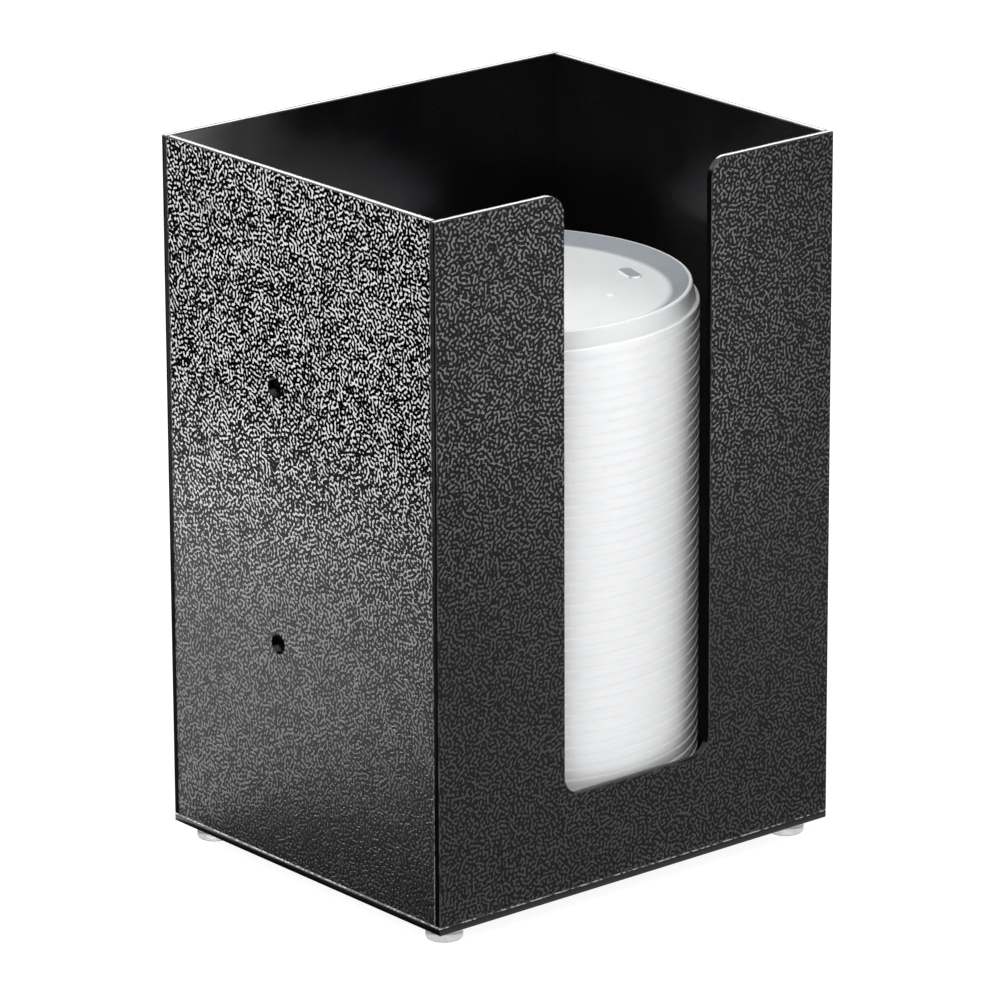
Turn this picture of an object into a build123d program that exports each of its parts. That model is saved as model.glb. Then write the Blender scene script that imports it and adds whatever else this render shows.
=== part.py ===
from build123d import *
import os

# A countertop bin for a nested stack of round disposable lids. Five plates of black
# plastic sheet are cemented into a box with an open top. The front plate has a tall slot,
# open at the top, to see and take the lids through. The box stands on four clear bumpers.
#
# X runs along the front, Y from the front to the back, Z up. The origin is the middle of
# the footprint, on the surface that the bumpers stand on.

# ---- box -------------------------------------------------------------------------------
box_width = 152.4
box_depth = 127.0
box_height = 215.9
sheet = 2.4
edge_break = 0.25

# ---- front slot ------------------------------------------------------------------------
slot_width = 56.4
slot_sill = 31.75
slot_radius = 6.35

# ---- side holes, for joining boxes side by side or to a wall -----------------------------
hole_diameter = 6.35
hole_from_back = 52.4
lower_hole_height = 70.6
hole_spacing = 79.4

# ---- bumpers ---------------------------------------------------------------------------
foot_diameter = 11.1
foot_height = 4.8
foot_inset = 8.8
foot_rounding = 0.9

# ---- lids ------------------------------------------------------------------------------
lid_count = 48
lid_pitch = 3.4
lid_sheet = 0.45
lid_radius = 60.0
lid_height = 8.7
crest_radius = 57.5
crest_width = 0.9
crest_depth = 1.6
crest_flare = 0.3
panel_radius = 52.0
panel_drop = 3.1
panel_bend = 0.7
crest_bend = 0.3
shoulder_radius = 58.9
shoulder_bend = 0.8
bead_bulge = 0.25

grip_length = 10.5
grip_width = 4.6
grip_height = 0.45
grip_reach = 42.6
grip_angle = -17.5
nub_diameter = 2.6
nub_reach = 33.9
nub_angle = -50.0

# ---- derived ---------------------------------------------------------------------------
base_floor = foot_height
base_top = base_floor + sheet
wall_height = box_height - sheet
box_top = base_floor + box_height
side_depth = box_depth - 2 * sheet
hole_y = box_depth / 2 - hole_from_back
lower_hole_z = base_floor + lower_hole_height
upper_hole_z = lower_hole_z + hole_spacing
foot_x = box_width / 2 - foot_inset
foot_y = box_depth / 2 - foot_inset

os.makedirs("parts", exist_ok=True)


def write(solid, name):
    """Labels a finished piece and writes it as one STEP file."""
    solid.label = name
    export_step(solid, f"parts/{name}.step")


# The base is a full-footprint plate under the four walls.
with BuildPart() as base_panel:
    with BuildSketch(Plane.XY.offset(base_floor)):
        Rectangle(box_width, box_depth)
    extrude(amount=sheet)
    chamfer(base_panel.edges(), length=edge_break)
write(base_panel.part, "base_panel")


def make_cross_wall(front_face_y, slotted):
    """A full-width wall, front or back, standing on the base."""
    with BuildPart() as wall:
        with BuildSketch(Plane.XZ.offset(-front_face_y)) as outline:
            with Locations((0, base_top + wall_height / 2)):
                Rectangle(box_width, wall_height)
            if slotted:
                # The slot starts at the sill and runs out through the top edge.
                slot_height = box_top - (base_floor + slot_sill)
                with Locations((0, box_top - slot_height / 2)):
                    Rectangle(slot_width, slot_height, mode=Mode.SUBTRACT)
                slot_corners = outline.vertices().filter_by(
                    lambda corner: abs(corner.X) < slot_width
                )
                fillet(slot_corners, radius=slot_radius)
        extrude(amount=-sheet)
        chamfer(wall.edges(), length=edge_break)
    return wall.part


write(make_cross_wall(-box_depth / 2, slotted=True), "front_panel")
write(make_cross_wall(box_depth / 2 - sheet, slotted=False), "back_panel")


def make_side_wall(outer_face_x):
    """A side wall between the front and back walls, with its two fastening holes."""
    inwards = 1 if outer_face_x < 0 else -1
    with BuildPart() as wall:
        with BuildSketch(Plane.YZ.offset(outer_face_x)):
            with Locations((0, base_top + wall_height / 2)):
                Rectangle(side_depth, wall_height)
            with Locations((hole_y, lower_hole_z), (hole_y, upper_hole_z)):
                Circle(hole_diameter / 2, mode=Mode.SUBTRACT)
        extrude(amount=inwards * sheet)
        chamfer(wall.edges().filter_by(GeomType.LINE), length=edge_break)
    return wall.part


write(make_side_wall(-box_width / 2), "left_side_panel")
write(make_side_wall(box_width / 2), "right_side_panel")


def make_foot(centre_x, centre_y):
    """A clear round bumper, flat on top and rounded round its lower edge."""
    with BuildPart() as foot:
        with BuildSketch():
            with Locations((centre_x, centre_y)):
                Circle(foot_diameter / 2)
        extrude(amount=foot_height)
        fillet(foot.edges().group_by(Axis.Z)[0], radius=foot_rounding)
    return foot.part


for side_name, foot_side in (("left", -1), ("right", 1)):
    for end_name, foot_end in (("front", -1), ("back", 1)):
        write(make_foot(foot_side * foot_x, foot_end * foot_y), f"foot_{end_name}_{side_name}")


def make_lid(hem_z):
    """A thin lid: recessed panel, raised crest, sloped shoulder, ledge and beaded hem.

    The hem of one lid stands on the ledge of the lid below, so the ledge is one pitch
    above the hem's lower edge, and every wall above it slopes enough to nest.
    """
    half_sheet = lid_sheet / 2
    panel_z = lid_height - panel_drop - half_sheet
    crest_z = lid_height - half_sheet
    ledge_z = lid_pitch - half_sheet
    hem_outside = lid_radius - bead_bulge
    hem_middle = hem_outside - half_sheet
    with BuildPart() as lid:
        profile_plane = Plane((0, 0, hem_z), x_dir=(1, 0, 0), z_dir=(0, -1, 0))
        with BuildSketch(profile_plane):
            with BuildLine():
                FilletPolyline(
                    (0, panel_z),
                    (panel_radius, panel_z),
                    (crest_radius - crest_width, crest_z),
                    (crest_radius, crest_z),
                    (crest_radius + crest_flare, crest_z - crest_depth),
                    (shoulder_radius - half_sheet, ledge_z),
                    (hem_middle, ledge_z),
                    (hem_middle, 0),
                    radius=[panel_bend, crest_bend, crest_bend, shoulder_bend, 0, 0],
                )
            trace(line_width=lid_sheet)
            # The bead swells the hem outwards at half its height.
            with BuildLine():
                hem_face = Line((hem_outside, 0), (hem_outside, lid_pitch))
                SagittaArc(hem_face @ 0, hem_face @ 1, -bead_bulge)
            make_face()
        revolve(axis=Axis.Z)

        # A low oblong grip pad and a round nub stand on the panel.
        panel_top = Plane.XY.offset(hem_z + lid_height - panel_drop)
        with BuildSketch(panel_top):
            with PolarLocations(grip_reach, 1, start_angle=grip_angle):
                SlotOverall(grip_length, grip_width, rotation=90)
        extrude(amount=grip_height)
        with BuildSketch(panel_top):
            with PolarLocations(nub_reach, 1, start_angle=nub_angle):
                Circle(nub_diameter / 2)
        extrude(amount=grip_height)
    return lid.part


for number in range(1, lid_count + 1):
    write(make_lid(base_top + (number - 1) * lid_pitch), f"lid_{number:02d}")
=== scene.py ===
import math

import bpy
from mathutils import Matrix, Vector


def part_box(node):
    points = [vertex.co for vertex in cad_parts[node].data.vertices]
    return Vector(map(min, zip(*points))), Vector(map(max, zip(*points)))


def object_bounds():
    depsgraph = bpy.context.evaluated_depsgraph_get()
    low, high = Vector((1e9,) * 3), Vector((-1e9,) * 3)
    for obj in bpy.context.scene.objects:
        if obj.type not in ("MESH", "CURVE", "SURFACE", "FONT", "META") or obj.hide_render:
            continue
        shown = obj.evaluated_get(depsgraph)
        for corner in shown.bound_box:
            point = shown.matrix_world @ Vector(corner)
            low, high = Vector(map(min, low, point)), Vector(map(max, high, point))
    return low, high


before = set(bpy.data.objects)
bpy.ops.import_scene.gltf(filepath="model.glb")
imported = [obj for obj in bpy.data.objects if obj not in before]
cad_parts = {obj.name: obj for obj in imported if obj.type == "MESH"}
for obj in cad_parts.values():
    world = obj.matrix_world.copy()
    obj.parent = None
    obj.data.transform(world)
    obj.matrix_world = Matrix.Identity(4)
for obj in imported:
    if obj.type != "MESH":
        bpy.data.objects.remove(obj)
cad_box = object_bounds()

# All lengths in this script are in metres, as in Blender. MM turns millimetres into them.
MM = 0.001

# Each wall's outward direction: the grain is only on the face that looks that way.
PANELS = {
    "front_panel": Vector((0, -1, 0)),
    "back_panel": Vector((0, 1, 0)),
    "left_side_panel": Vector((-1, 0, 0)),
    "right_side_panel": Vector((1, 0, 0)),
    "base_panel": Vector((0, 0, -1)),
}
FEET = sorted(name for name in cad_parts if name.startswith("foot_"))
LIDS = sorted(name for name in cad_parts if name.startswith("lid_"))

UP = Vector((0, 0, 1))

# The grain of the sheet: ridges, the pattern that breaks them up, and fine grit over both.
GRAIN_PERIOD = 1.44 * MM
GRAIN_BREAK = 1.3 * MM
GRAIN_HEIGHT = 0.10 * MM
GRAIN_WAVES_PER_CELL = 2.0
GRIT_PERIOD = 0.45 * MM
GRIT_HEIGHT = 0.035 * MM

# Painted shade in the grain's gaps is weakest below the first height and strongest above the
# second, so the grain looks softer low on the walls and crisp high up.
GAP_SHADE_LEAST_BELOW = 50.0 * MM
GAP_SHADE_MOST_ABOVE = 155.0 * MM

# How high a cut face stands half way through the sheet, and how uneven the plain faces are.
CROWN_HEIGHT = 0.25 * MM
RIPPLE_HEIGHT = 0.03 * MM

# The sheet's colours: the tint of its sheen, painted shade, the gaps, the ridges, the corners and
# the cement.
WARM_BLACK = (1.0, 0.95, 1.0)
# Painted shade: matt black in the grain's gaps and on cuts that don't face up hides their sheen.
PAINTED_SHADE_BLACK = (0.002, 0.0018, 0.002)
GAP_COLOURS = (0.0020, 0.0018, 0.0022), (0.0036, 0.0032, 0.0036)
# Painted highlight: the ridges are coloured lighter than the gaps, for the sheen they catch.
RIDGE_HIGHLIGHT_COLOURS = (0.016, 0.015, 0.016), (0.028, 0.026, 0.028)
WORN_CORNER = (0.055, 0.052, 0.055)
DULL_CEMENT = (0.03, 0.03, 0.032)
# The cement at the joints is painted pale as a painted highlight, brightest along the base.
WALL_CEMENT_HIGHLIGHT = 0.14
BASE_CEMENT_HIGHLIGHT = 0.42

# The lids' own proportions, in the frame of the part. The pad's angle is in degrees.
PANEL_RADIUS = 52.0 * MM
CREST_RADIUS = 57.5 * MM
HEM_RADIUS = 59.2 * MM
PAD_REACH = 42.6 * MM
PAD_ANGLE = -17.5
PAD_LENGTH = 10.5 * MM
PAD_WIDTH = 4.6 * MM

# The lids' colours, with painted shade on the crest's inner wall, how strongly their seams glow,
# and how high their faint marks are.
MILK_COLOURS = (0.84, 0.865, 0.89), (0.89, 0.905, 0.92)
INNER_WALL_SHADE = (0.27, 0.29, 0.315)
PAD_COLOUR = (0.36, 0.38, 0.40)
SEAM_LIGHT = 0.15
MARK_HEIGHT = 0.03 * MM

BUMPER_COLOURS = (0.50, 0.51, 0.52), (0.70, 0.71, 0.72)


# ---- node helpers ----------------------------------------------------------------------


def new_material(name):
    """An empty node material with one Principled shader; gives material, tree and shader."""
    material = bpy.data.materials.new(name)
    material.use_nodes = True
    tree = material.node_tree
    tree.nodes.clear()
    output = tree.nodes.new("ShaderNodeOutputMaterial")
    shader = tree.nodes.new("ShaderNodeBsdfPrincipled")
    tree.links.new(shader.outputs["BSDF"], output.inputs["Surface"])
    return material, tree, shader


def feed(tree, socket, value):
    """Links an output to a socket, or sets the socket to a constant."""
    if isinstance(value, bpy.types.NodeSocket):
        tree.links.new(value, socket)
    else:
        socket.default_value = value


def coordinates(tree, kind):
    """Kind is Object for the place, Normal for the way it faces, Generated for the world."""
    return tree.nodes.new("ShaderNodeTexCoord").outputs[kind]


def maths(tree, operation, a, b=0.0, clamp=False):
    node = tree.nodes.new("ShaderNodeMath")
    node.operation = operation
    node.use_clamp = clamp
    feed(tree, node.inputs[0], a)
    feed(tree, node.inputs[1], b)
    return node.outputs[0]


def dot(tree, vector, direction):
    node = tree.nodes.new("ShaderNodeVectorMath")
    node.operation = "DOT_PRODUCT"
    feed(tree, node.inputs[0], vector)
    node.inputs[1].default_value = direction
    return node.outputs["Value"]


def noise(tree, where, period, detail=0.0):
    """Noise from 0 to 1 whose largest cells are period across."""
    node = tree.nodes.new("ShaderNodeTexNoise")
    feed(tree, node.inputs["Vector"], where)
    node.inputs["Scale"].default_value = 1 / period
    node.inputs["Detail"].default_value = detail
    return node.outputs["Fac"]


def ramp(tree, value, low, high, out_low=0.0, out_high=1.0):
    """Takes value smoothly from low..high to out_low..out_high."""
    node = tree.nodes.new("ShaderNodeMapRange")
    node.interpolation_type = "SMOOTHSTEP"
    feed(tree, node.inputs["Value"], value)
    node.inputs["From Min"].default_value = low
    node.inputs["From Max"].default_value = high
    feed(tree, node.inputs["To Min"], out_low)
    feed(tree, node.inputs["To Max"], out_high)
    return node.outputs["Result"]


def mix(tree, factor, a, b):
    """Numbers mixed by a factor."""
    node = tree.nodes.new("ShaderNodeMix")
    node.data_type = "FLOAT"
    feed(tree, node.inputs[0], factor)
    feed(tree, node.inputs[2], a)
    feed(tree, node.inputs[3], b)
    return node.outputs[0]


def mix_colour(tree, factor, a, b):
    """Colours mixed by a factor."""
    node = tree.nodes.new("ShaderNodeMix")
    node.data_type = "RGBA"
    feed(tree, node.inputs[0], factor)
    for socket, colour in ((node.inputs[6], a), (node.inputs[7], b)):
        feed(tree, socket, colour if isinstance(colour, bpy.types.NodeSocket) else (*colour, 1.0))
    return node.outputs[2]


def bump(tree, height, distance, under=None):
    node = tree.nodes.new("ShaderNodeBump")
    node.inputs["Distance"].default_value = distance
    feed(tree, node.inputs["Height"], height)
    if under is not None:
        feed(tree, node.inputs["Normal"], under)
    return node.outputs["Normal"]


def dress(node, material):
    """Gives a CAD node its one material."""
    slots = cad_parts[node].data.materials
    slots.clear()
    slots.append(material)


# ---- black sheet -----------------------------------------------------------------------


def haircell(tree, where, outward):
    """Short worm-like ridges, from 0 in the gaps to 1 on the ridges, drawn in the wall's plane."""
    across = Vector((0, 1, 0)) if abs(outward.x) > 0.5 else Vector((1, 0, 0))
    along = outward.cross(across)
    place = tree.nodes.new("ShaderNodeCombineXYZ")
    feed(tree, place.inputs["X"], dot(tree, where, across))
    feed(tree, place.inputs["Y"], dot(tree, where, along))
    gabor = tree.nodes.new("ShaderNodeTexGabor")
    feed(tree, gabor.inputs["Vector"], place.outputs[0])
    gabor.inputs["Scale"].default_value = 1 / (GRAIN_PERIOD * GRAIN_WAVES_PER_CELL)
    gabor.inputs["Frequency"].default_value = GRAIN_WAVES_PER_CELL
    gabor.inputs["Anisotropy"].default_value = 0.0
    # A second pattern breaks the long ridges into short ones.
    breaks = ramp(tree, noise(tree, where, GRAIN_BREAK), 0.3, 0.7, -0.09, 0.075)
    return ramp(tree, maths(tree, "ADD", gabor.outputs["Value"], breaks), 0.485, 0.585)


def faces_joint(tree, normal, facing, outward):
    """1 on the broken edges that meet another panel, 0 on the free corners."""
    up = dot(tree, normal, UP)
    if outward.z < -0.5:
        return ramp(tree, up, 0.3, 0.5)
    free = ramp(tree, up, 0.3, 0.5)
    if abs(outward.y) > 0.5:
        free = maths(tree, "MAXIMUM", free, ramp(tree, facing, 0.3, 0.5))
    return maths(tree, "SUBTRACT", 1.0, free)


def add_painted_shade(tree, shader, share):
    """Painted shade: shows a share of the surface as matt black instead of as the shader."""
    matt = tree.nodes.new("ShaderNodeBsdfDiffuse")
    matt.inputs["Color"].default_value = (*PAINTED_SHADE_BLACK, 1)
    blend = tree.nodes.new("ShaderNodeMixShader")
    feed(tree, blend.inputs[0], share)
    tree.links.new(shader.outputs["BSDF"], blend.inputs[1])
    tree.links.new(matt.outputs["BSDF"], blend.inputs[2])
    output = next(node for node in tree.nodes if node.type == "OUTPUT_MATERIAL")
    tree.links.new(blend.outputs[0], output.inputs["Surface"])


def crown(tree, where, panel, outward, cut):
    """The height of a cut face: highest half way through the sheet, and 0 on other faces."""
    near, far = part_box(panel)
    middle = (near + far).dot(outward) / 2
    half_sheet = abs((far - near).dot(outward)) / 2
    off_middle = maths(tree, "SUBTRACT", dot(tree, where, outward), middle)
    share = maths(tree, "DIVIDE", off_middle, half_sheet)
    fall = maths(tree, "MULTIPLY", maths(tree, "MULTIPLY", share, share), -1.0)
    return maths(tree, "MULTIPLY", fall, cut)


def sheet_material(panel, outward):
    """Black plastic sheet: haircell grain outside, satin inside, cuts dark with painted shade, pale
    joint lines with a painted highlight.
    """
    material, tree, shader = new_material(f"{panel}_sheet")
    where = coordinates(tree, "Object")
    normal = coordinates(tree, "Normal")
    facing = dot(tree, normal, outward)
    outside = ramp(tree, facing, 0.90, 0.97)
    inside = ramp(tree, facing, -0.90, -0.97)
    not_outside = maths(tree, "SUBTRACT", 1.0, outside)

    # A broken edge faces no axis squarely; a cut face faces one, but not outwards or inwards.
    square = 0.0
    for axis in ((1, 0, 0), (0, 1, 0), (0, 0, 1)):
        square = maths(tree, "MAXIMUM", square, maths(tree, "ABSOLUTE", dot(tree, normal, axis)))
    broken_edge = ramp(tree, square, 0.93, 0.86)
    cut = maths(tree, "SUBTRACT", not_outside, maths(tree, "ADD", inside, broken_edge), clamp=True)
    joint = maths(tree, "MULTIPLY", broken_edge, faces_joint(tree, normal, facing, outward))

    ridges = haircell(tree, where, outward)
    raised = maths(tree, "MULTIPLY", ridges, outside)
    grit = maths(tree, "MULTIPLY", noise(tree, where, GRIT_PERIOD), outside)
    relief = bump(tree, grit, GRIT_HEIGHT, under=bump(tree, raised, GRAIN_HEIGHT))
    relief = bump(tree, crown(tree, where, panel, outward, cut), CROWN_HEIGHT, under=relief)
    ripple = maths(tree, "MULTIPLY", noise(tree, where, 9 * MM, detail=2.0), not_outside)
    feed(tree, shader.inputs["Normal"], bump(tree, ripple, RIPPLE_HEIGHT, under=relief))

    drift = noise(tree, where, 35 * MM, detail=3.0)
    black = mix_colour(tree, drift, *GAP_COLOURS)
    # Painted highlight: the ridges are coloured lighter than the gaps.
    ridge_highlight = mix_colour(tree, drift, *RIDGE_HIGHLIGHT_COLOURS)
    grain_and_highlight = mix_colour(tree, raised, black, ridge_highlight)
    # Painted highlight: the cement beads at the joints are pale, most of all along the base.
    brightest = BASE_CEMENT_HIGHLIGHT if outward.z < -0.5 else WALL_CEMENT_HIGHLIGHT
    beads = ramp(tree, noise(tree, where, 1.5 * MM, detail=2.0), 0.42, 0.60)
    cement_highlight = mix_colour(tree, beads, DULL_CEMENT, (brightest,) * 3)
    worn = maths(tree, "SUBTRACT", broken_edge, joint, clamp=True)
    scuff = ramp(tree, noise(tree, where, 5 * MM, detail=3.0), 0.35, 0.65, 0.2, 1.0)
    edged = mix_colour(tree, maths(tree, "MULTIPLY", worn, scuff), grain_and_highlight, WORN_CORNER)
    feed(tree, shader.inputs["Base Color"], mix_colour(tree, joint, edged, cement_highlight))

    # Painted shade: the gaps between the ridges, and cuts that don't face up, are partly shown as
    # matt black, which hides their sheen. Only the top cuts are glossy. Towards the bottom the gaps
    # keep more of their sheen, so the grain looks softer there.
    least = 0.0 if abs(outward.x) > 0.5 else 0.22
    gap_sheen = ramp(tree, dot(tree, where, UP), GAP_SHADE_LEAST_BELOW, GAP_SHADE_MOST_ABOVE, 0.38, least)
    deep = maths(tree, "SUBTRACT", outside, raised, clamp=True)
    shaded_cut = maths(tree, "MULTIPLY", cut, ramp(tree, dot(tree, normal, UP), 0.7, 0.3))
    if outward.z < -0.5:
        shaded_cut = maths(tree, "MULTIPLY", shaded_cut, 0.2)
    shaded_gap = maths(tree, "MULTIPLY", deep, maths(tree, "SUBTRACT", 1.0, gap_sheen))
    add_painted_shade(tree, shader, maths(tree, "MAXIMUM", shaded_gap, maths(tree, "MULTIPLY", shaded_cut, 0.97)))

    shader.inputs["Specular Tint"].default_value = (*WARM_BLACK, 1)
    smudge = noise(tree, where, 18 * MM, detail=4.0)
    outer_gloss = mix(tree, ridges, 0.50, ramp(tree, smudge, 0.3, 0.7, 0.26, 0.34))
    inner_gloss = ramp(tree, smudge, 0.3, 0.7, 0.18, 0.28)
    feed(tree, shader.inputs["Roughness"], mix(tree, outside, inner_gloss, outer_gloss))
    shader.inputs["IOR"].default_value = 1.5
    return material


def finish_panels():
    for panel, outward in PANELS.items():
        dress(panel, sheet_material(panel, outward))


# ---- lids ------------------------------------------------------------------------------


def lid_material():
    """Milky, thin plastic with a soft gloss and faint marks.

    The crest's inner wall is greyer with painted shade. The grip pad is greyer than the panel.
    """
    material, tree, shader = new_material("milky_lid")
    where = coordinates(tree, "Object")
    flat = tree.nodes.new("ShaderNodeVectorMath")
    flat.operation = "MULTIPLY"
    feed(tree, flat.inputs[0], where)
    flat.inputs[1].default_value = (1, 1, 0)
    size = tree.nodes.new("ShaderNodeVectorMath")
    size.operation = "LENGTH"
    feed(tree, size.inputs[0], flat.outputs["Vector"])
    radius = size.outputs["Value"]
    past_panel = ramp(tree, radius, PANEL_RADIUS - 2.2 * MM, PANEL_RADIUS + 0.6 * MM)
    at_crest = ramp(tree, radius, CREST_RADIUS - 1.0 * MM, CREST_RADIUS - 0.5 * MM)
    inner_wall = maths(tree, "SUBTRACT", past_panel, at_crest, clamp=True)

    cloud = noise(tree, where, 22 * MM, detail=3.0)
    milk = mix_colour(tree, cloud, *MILK_COLOURS)
    # Painted shade: the crest's inner wall is greyer, for the dark bin seen through it.
    milk = mix_colour(tree, inner_wall, milk, INNER_WALL_SHADE)
    milk = mix_colour(tree, grip_pad(tree, where), milk, PAD_COLOUR)
    feed(tree, shader.inputs["Base Color"], milk)
    feed(tree, shader.inputs["Roughness"], ramp(tree, cloud, 0.3, 0.7, 0.34, 0.46))
    soft = soft_hem_normal(tree, flat.outputs["Vector"], radius)
    faint_marks = noise(tree, where, 4 * MM, detail=2.0)
    feed(tree, shader.inputs["Normal"], bump(tree, faint_marks, MARK_HEIGHT, under=soft))
    feed(tree, shader.inputs["Emission Strength"], seam_light(tree, where, radius))
    shader.inputs["Emission Color"].default_value = (0.97, 0.98, 1.0, 1)
    shader.inputs["IOR"].default_value = 1.45
    shader.inputs["Specular IOR Level"].default_value = 0.35
    shader.inputs["Subsurface Weight"].default_value = 0.9
    shader.inputs["Subsurface Radius"].default_value = (1.0, 1.0, 1.0)
    shader.inputs["Subsurface Scale"].default_value = 1.8 * MM
    return material


def seam_light(tree, where, radius):
    """A faint glow in the seams between nested hems, in place of light from lid to lid."""
    lowest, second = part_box(LIDS[0])[0].z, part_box(LIDS[1])[0].z
    above = maths(tree, "SUBTRACT", dot(tree, where, UP), lowest)
    share = maths(tree, "FRACT", maths(tree, "DIVIDE", above, second - lowest))
    from_middle = maths(tree, "ABSOLUTE", maths(tree, "SUBTRACT", share, 0.5))
    seam = ramp(tree, from_middle, 0.32, 0.48)
    on_hem = ramp(tree, radius, HEM_RADIUS - 0.8 * MM, HEM_RADIUS, 0.0, SEAM_LIGHT)
    return maths(tree, "MULTIPLY", seam, on_hem)


def soft_hem_normal(tree, away, radius):
    """The normal, turned towards straight outwards on the hem.

    It stands in for light that spreads through the hems: their beads are shaded less.
    """
    outwards = tree.nodes.new("ShaderNodeVectorMath")
    outwards.operation = "NORMALIZE"
    feed(tree, outwards.inputs[0], away)
    turned = tree.nodes.new("ShaderNodeMix")
    turned.data_type = "VECTOR"
    feed(tree, turned.inputs[0], ramp(tree, radius, HEM_RADIUS - 0.8 * MM, HEM_RADIUS, 0.0, 0.75))
    feed(tree, turned.inputs[4], tree.nodes.new("ShaderNodeNewGeometry").outputs["Normal"])
    feed(tree, turned.inputs[5], outwards.outputs["Vector"])
    unit = tree.nodes.new("ShaderNodeVectorMath")
    unit.operation = "NORMALIZE"
    feed(tree, unit.inputs[0], turned.outputs[1])
    return unit.outputs["Vector"]


def grip_pad(tree, where):
    """1 on the oblong pad that stands on each lid's panel."""
    angle = math.radians(PAD_ANGLE)
    outwards = Vector((math.cos(angle), math.sin(angle), 0))
    along = Vector((-math.sin(angle), math.cos(angle), 0))
    across = maths(tree, "ABSOLUTE", maths(tree, "SUBTRACT", dot(tree, where, outwards), PAD_REACH))
    length = maths(tree, "ABSOLUTE", dot(tree, where, along))
    within_width = ramp(tree, across, PAD_WIDTH / 2, PAD_WIDTH / 2 - 0.5 * MM)
    within_length = ramp(tree, length, PAD_LENGTH / 2, PAD_LENGTH / 2 - 0.8 * MM)
    return maths(tree, "MULTIPLY", within_width, within_length)


def finish_lids():
    milky = lid_material()
    for lid in LIDS:
        dress(lid, milky)


# ---- bumpers ---------------------------------------------------------------------------


def bumper_material():
    """Clear, slightly cloudy urethane."""
    material, tree, shader = new_material("clear_bumper")
    where = coordinates(tree, "Object")
    cloud = noise(tree, where, 2.5 * MM, detail=3.0)
    feed(tree, shader.inputs["Base Color"], mix_colour(tree, cloud, *BUMPER_COLOURS))
    feed(tree, shader.inputs["Roughness"], ramp(tree, cloud, 0.3, 0.7, 0.08, 0.18))
    feed(tree, shader.inputs["Normal"], bump(tree, cloud, MARK_HEIGHT))
    shader.inputs["IOR"].default_value = 1.48
    shader.inputs["Transmission Weight"].default_value = 0.5
    return material


def finish_feet():
    clear = bumper_material()
    for foot in FEET:
        dress(foot, clear)


# ---- stage -----------------------------------------------------------------------------

low, high = cad_box
centre = (low + high) / 2

# The floor reaches this far each way from the object.
FLOOR_HALF = 20.0

# The card lies to the left of the box and behind it: how far it reaches out from the left
# side, where its front and back edges lie in Y, and how high above the floor it lies.
CARD_REACH = 0.27
CARD_FRONT, CARD_BACK = 0.07, 0.33
CARD_HEIGHT = 0.5 * MM


def flat_plate(name, x_range, y_range, z, colour, glow=0.0):
    """A level rectangle of the stage, in a plain matt colour, with a glow of its own."""
    mesh = bpy.data.meshes.new(name)
    corners = [(x_range[0], y_range[0], z), (x_range[1], y_range[0], z),
               (x_range[1], y_range[1], z), (x_range[0], y_range[1], z)]
    mesh.from_pydata(corners, [], [(0, 1, 2, 3)])
    plate = bpy.data.objects.new(name, mesh)
    bpy.context.scene.collection.objects.link(plate)
    material, tree, shader = new_material(f"{name}_paper")
    shader.inputs["Base Color"].default_value = (colour, colour, colour, 1)
    shader.inputs["Roughness"].default_value = 0.9
    shader.inputs["Specular IOR Level"].default_value = 0.0
    shader.inputs["Emission Color"].default_value = (1, 1, 1, 1)
    shader.inputs["Emission Strength"].default_value = glow
    mesh.materials.append(material)
    return plate


def make_floor():
    """The pale floor, which reflections miss, and a white card that only reflections see."""
    span = (-FLOOR_HALF, FLOOR_HALF)
    floor = flat_plate("floor", span, span, 0, 0.30, glow=0.92)
    floor.visible_glossy = False
    reach = (low.x - CARD_REACH, low.x)
    card = flat_plate("card", reach, (CARD_FRONT, CARD_BACK), CARD_HEIGHT, 0.93, glow=1.7)
    card.visible_camera = False
    card.visible_diffuse = False
    card.visible_shadow = False
    card.visible_transmission = False


def direction_from(azimuth, elevation):
    """The way from the object to where something stands: azimuth 0 is in front, 90 on its right."""
    turn, rise = math.radians(azimuth), math.radians(elevation)
    level = math.cos(rise)
    return Vector((math.sin(turn) * level, -math.cos(turn) * level, math.sin(rise)))


def soft_box(name, azimuth, elevation, distance, size, radiance, target, sheen_only=False):
    """A square area light, set by where it stands round its target and how bright its face is."""
    away = direction_from(azimuth, elevation)
    lamp = bpy.data.lights.new(name, "AREA")
    lamp.shape = "SQUARE"
    lamp.size = size
    lamp.energy = 4 * radiance * size * size
    light = bpy.data.objects.new(name, lamp)
    light.location = target + away * distance
    light.rotation_euler = away.to_track_quat("Z", "Y").to_euler()
    light.visible_camera = False
    light.visible_diffuse = not sheen_only
    bpy.context.scene.collection.objects.link(light)
    return light


def make_lights():
    upper_left = Vector((low.x, centre.y, 0.97 * high.z))
    upper_front = Vector((0.5 * low.x, low.y, 0.95 * high.z))
    soft_box("key", -50, 52, 1.3, 0.80, 4.4, centre)
    soft_box("left_sheen", -140, -18, 0.30, 0.20, 10.5, upper_left, sheen_only=True)
    soft_box("front_sheen", 40, -18, 0.30, 0.14, 4.0, upper_front, sheen_only=True)
    soft_box("edge_sheen", 140, 26, 1.2, 0.60, 5.2, centre, sheen_only=True)


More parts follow.
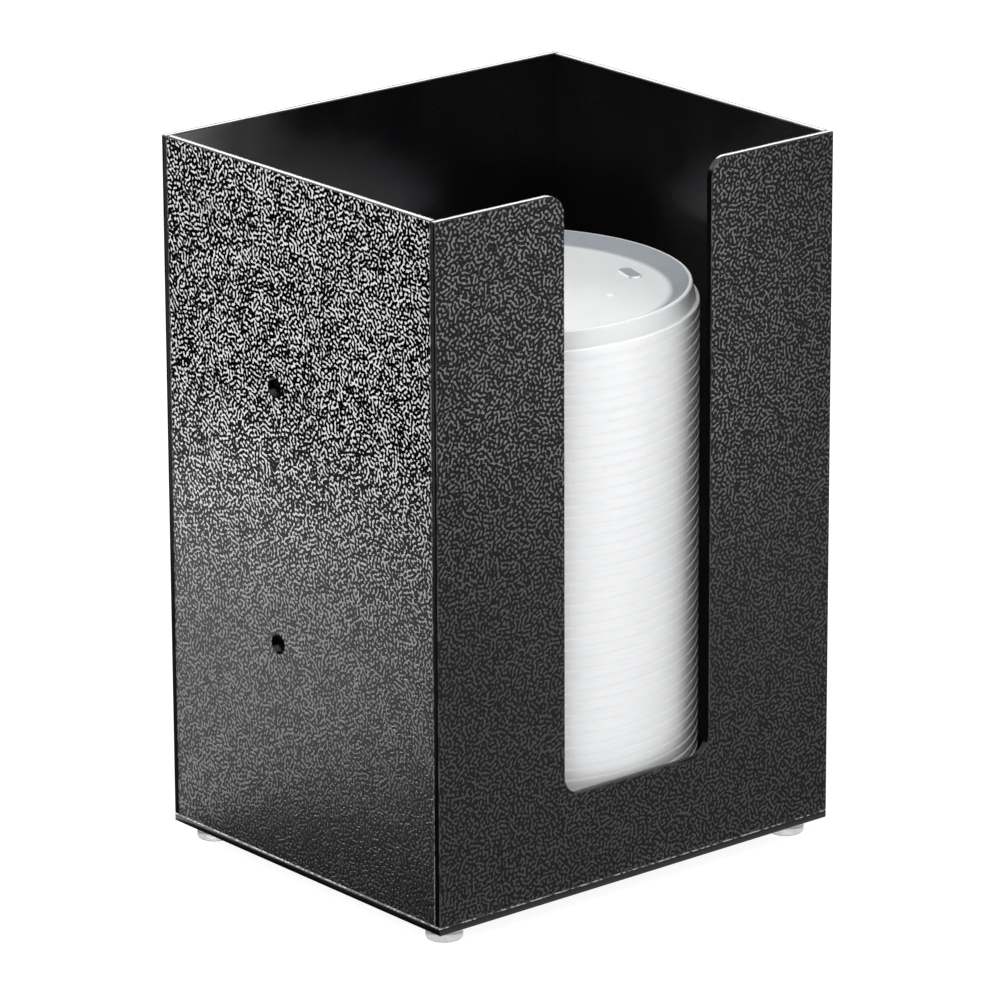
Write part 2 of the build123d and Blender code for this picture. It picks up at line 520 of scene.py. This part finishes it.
def make_world():
    """Pale above the horizon, dimmer on the right. Only reflections look below it."""
    world = bpy.data.worlds.new("studio")
    world.use_nodes = True
    tree = world.node_tree
    background = tree.nodes["Background"]
    direction = coordinates(tree, "Generated")
    rise = dot(tree, direction, (0, 0, 1))
    from_right = ramp(tree, dot(tree, direction, (1, 0, 0)), -0.1, 0.6, 1.0, 0.30)
    sky = maths(tree, "MULTIPLY", ramp(tree, rise, 0.10, 0.30, 0.20, 1.0), from_right)
    above = ramp(tree, rise, -0.08, 0.02)
    below = ramp(tree, dot(tree, direction, (0.64, -0.77, 0)), -0.3, 0.6, 0.01, 0.78)
    feed(tree, background.inputs["Strength"], mix(tree, above, below, sky))
    background.inputs["Color"].default_value = (1, 1, 1, 1)
    bpy.context.scene.world = world
    bpy.context.scene.view_settings.view_transform = "Standard"


# ---- camera ----------------------------------------------------------------------------

# Angles are in degrees and the lens is in millimetres. The distance and the aim, right and
# up, are in heights of the box.
CAMERA_AZIMUTH = -39.893
CAMERA_ELEVATION = 18.028
CAMERA_ROLL = -0.25
CAMERA_DISTANCE = 9.674
CAMERA_AIM = -0.0012, 0.0262
CAMERA_LENS = 250.8


def make_camera():
    camera_data = bpy.data.cameras.new("camera")
    camera_data.lens = CAMERA_LENS
    camera_data.sensor_width = 36
    camera_data.clip_start = 0.05
    camera_data.clip_end = 50
    camera = bpy.data.objects.new("camera", camera_data)
    bpy.context.scene.collection.objects.link(camera)
    back = direction_from(CAMERA_AZIMUTH, CAMERA_ELEVATION)
    right = UP.cross(back).normalized()
    up = back.cross(right)
    roll = math.radians(CAMERA_ROLL)
    turned_right = right * math.cos(roll) + up * math.sin(roll)
    turned_up = up * math.cos(roll) - right * math.sin(roll)
    box_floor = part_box("base_panel")[0].z
    box_height = high.z - box_floor
    box_middle = Vector((0, 0, box_floor + box_height / 2))
    away = back * CAMERA_DISTANCE - turned_right * CAMERA_AIM[0] - turned_up * CAMERA_AIM[1]
    eye = box_middle + away * box_height
    camera.matrix_world = Matrix((
        (turned_right.x, turned_up.x, back.x, eye.x),
        (turned_right.y, turned_up.y, back.y, eye.y),
        (turned_right.z, turned_up.z, back.z, eye.z),
        (0, 0, 0, 1),
    ))
    bpy.context.scene.camera = camera


finish_panels()
finish_lids()
finish_feet()
make_floor()
make_lights()
make_world()
make_camera()
